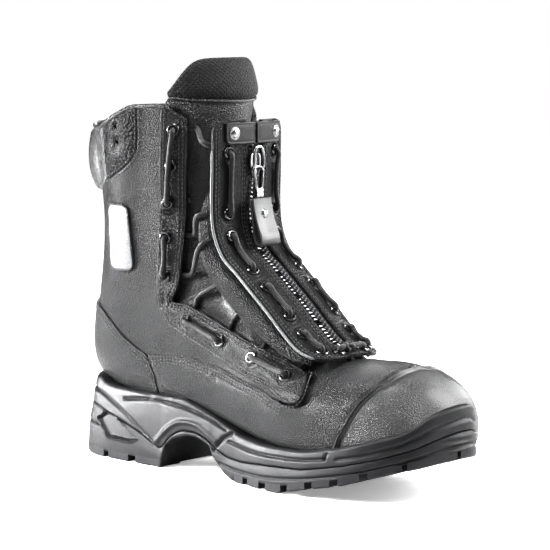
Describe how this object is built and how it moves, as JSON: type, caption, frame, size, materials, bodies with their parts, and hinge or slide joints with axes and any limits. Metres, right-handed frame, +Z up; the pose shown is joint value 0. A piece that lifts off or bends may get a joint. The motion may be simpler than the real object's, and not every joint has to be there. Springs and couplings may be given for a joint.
{
  "type": "firefighter boot",
  "caption": "Ankle-high leather safety boot with a laced front-zip panel, reinforced toe, padded collar and lugged rubber sole.",
  "frame": {"origin": "bottom centre of the boot's bounding box, on the ground", "axes": "+X towards the toe, +Y towards the inner side of a right foot, +Z up"},
  "size_m": [0.325, 0.1112, 0.2858],
  "materials": {
    "leather": "fine-grained black leather with a satin sheen",
    "toe_overlay_leather": "smooth black coated leather, matt",
    "soft_leather": "soft tumbled black leather",
    "textile": "black woven and mesh textile",
    "foam": "dark grey foam",
    "composite": "pale fibre composite",
    "outsole_rubber": "matt black rubber",
    "midsole_rubber": "dark grey moulded foam rubber, matt",
    "reflective": "light grey reflective fabric",
    "bright_metal": "polished nickel",
    "dark_metal": "black nickel",
    "lace": "round braided black lace"
  },
  "bodies": {
    "boot": {"outsole": "outsole_rubber", "midsole": "midsole_rubber", "insole_board": "textile", "puncture_plate": "composite", "footbed": "textile", "toe_cap": "composite", "heel_counter": "composite", "collar_foam": "foam", "lining": "textile", "vamp": "leather", "toe_overlay": "toe_overlay_leather", "heel_overlay": "leather", "quarter_lateral": "leather", "quarter_medial": "leather", "facing_lateral": "leather", "facing_medial": "leather", "collar_patch_lateral": "soft_leather", "collar_patch_medial": "soft_leather", "back_collar": "soft_leather", "collar_binding": "soft_leather", "tongue": "leather", "tongue_pad": "textile", "reflective_patch_lateral": "reflective", "reflective_patch_medial": "reflective", "eyelet_lateral_1": "dark_metal", "eyelet_lateral_2": "dark_metal", "eyelet_lateral_3": "dark_metal", "eyelet_lateral_4": "dark_metal", "eyelet_lateral_5": "dark_metal", "eyelet_lateral_6": "dark_metal", "eyelet_lateral_7": "dark_metal", "eyelet_lateral_8": "dark_metal", "eyelet_lateral_9": "dark_metal", "eyelet_medial_1": "dark_metal", "eyelet_medial_2": "dark_metal", "eyelet_medial_3": "dark_metal", "eyelet_medial_4": "dark_metal", "eyelet_medial_5": "dark_metal", "eyelet_medial_6": "dark_metal", "eyelet_medial_7": "dark_metal", "eyelet_medial_8": "dark_metal", "eyelet_medial_9": "dark_metal", "panel_lateral": "leather", "panel_medial": "leather", "panel_tip": "leather", "panel_piping": "reflective", "zip_tape_lateral": "textile", "zip_tape_medial": "textile", "zip_teeth": "dark_metal", "zip_bottom_stop": "bright_metal", "strap_base": "leather", "strap_rivet": "bright_metal", "lace": "lace"},
    "slider": {"zip_slider": "bright_metal"},
    "puller": {"zip_puller": "bright_metal"},
    "tab": {"pull_tab": "leather", "pull_tab_rivet": "bright_metal"},
    "flap": {"strap_flap": "leather", "strap_snap": "bright_metal"}
  },
  "joints": [
    {"name": "zip_slide", "type": "slide", "parent": "boot", "child": "slider", "axis": [0, 0, -1], "range_m": [-0.006, 0.004]},
    {"name": "puller_swing", "type": "hinge", "parent": "slider", "child": "puller", "pos_m": [-0.00802, 0.00074, 0.2108], "axis": [0, -1, 0], "range_deg": [0, 100]},
    {"name": "tab_swing", "type": "hinge", "parent": "puller", "child": "tab", "pos_m": [-0.00682, 0.00074, 0.1908], "axis": [0, -1, 0], "range_deg": [0, 60]},
    {"name": "flap_open", "type": "hinge", "parent": "boot", "child": "flap", "pos_m": [-0.00926, 0.00074, 0.235], "axis": [0, 0, -1], "range_deg": [0, 130]}
  ]
}
